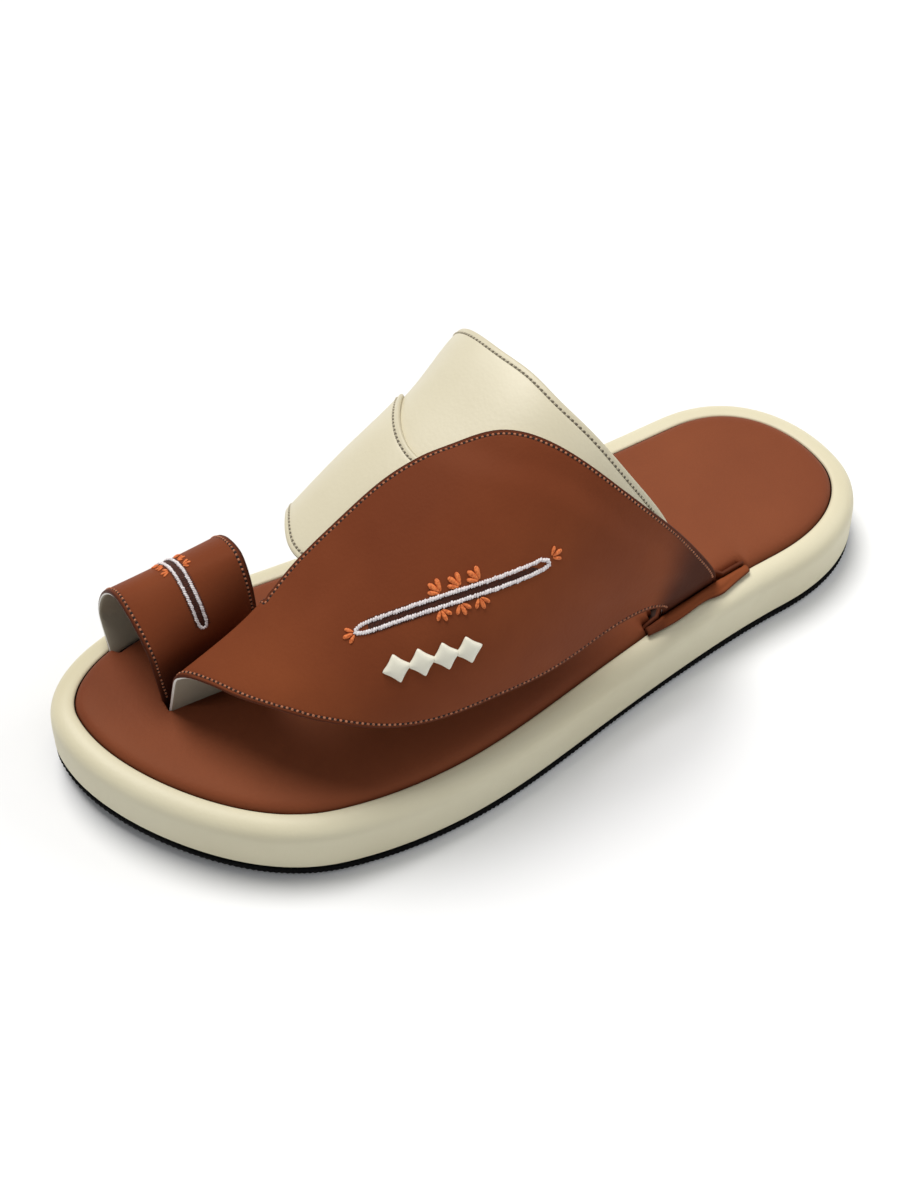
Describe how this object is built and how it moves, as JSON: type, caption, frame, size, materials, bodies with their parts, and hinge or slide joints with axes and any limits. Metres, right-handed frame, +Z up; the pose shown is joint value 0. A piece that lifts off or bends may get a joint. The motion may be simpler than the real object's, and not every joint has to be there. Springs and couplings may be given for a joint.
{
  "type": "arabic sandal",
  "caption": "Left leather sandal: thick wrapped sole, padded insole, brown leaf vamp that folds between the toes into a toe ring, and broad cream instep straps held by folded side tabs.",
  "frame": {"origin": "on the floor under the middle of the sandal's box", "axes": "+Z up, -Y towards the toe, +X towards the outer side of the left foot"},
  "size_m": [0.1167, 0.29, 0.1146],
  "materials": {
    "outsole_rubber": "matt, finely ribbed edge",
    "midsole_leather": "smooth satin",
    "insole_leather": "pebbled satin",
    "brown_leather": "pebbled satin",
    "cream_leather": "smooth satin",
    "stud_leather": "smooth satin"
  },
  "bodies": {
    "root": {"outsole": "outsole_rubber", "midsole": "midsole_leather", "insole": "insole_leather", "vamp_and_toe_ring": "brown_leather", "instep_straps": "cream_leather", "outer_keeper": "brown_leather", "inner_tab": "brown_leather", "diamond_1": "stud_leather", "diamond_2": "stud_leather", "diamond_3": "stud_leather", "diamond_4": "stud_leather"}
  },
  "joints": []
}
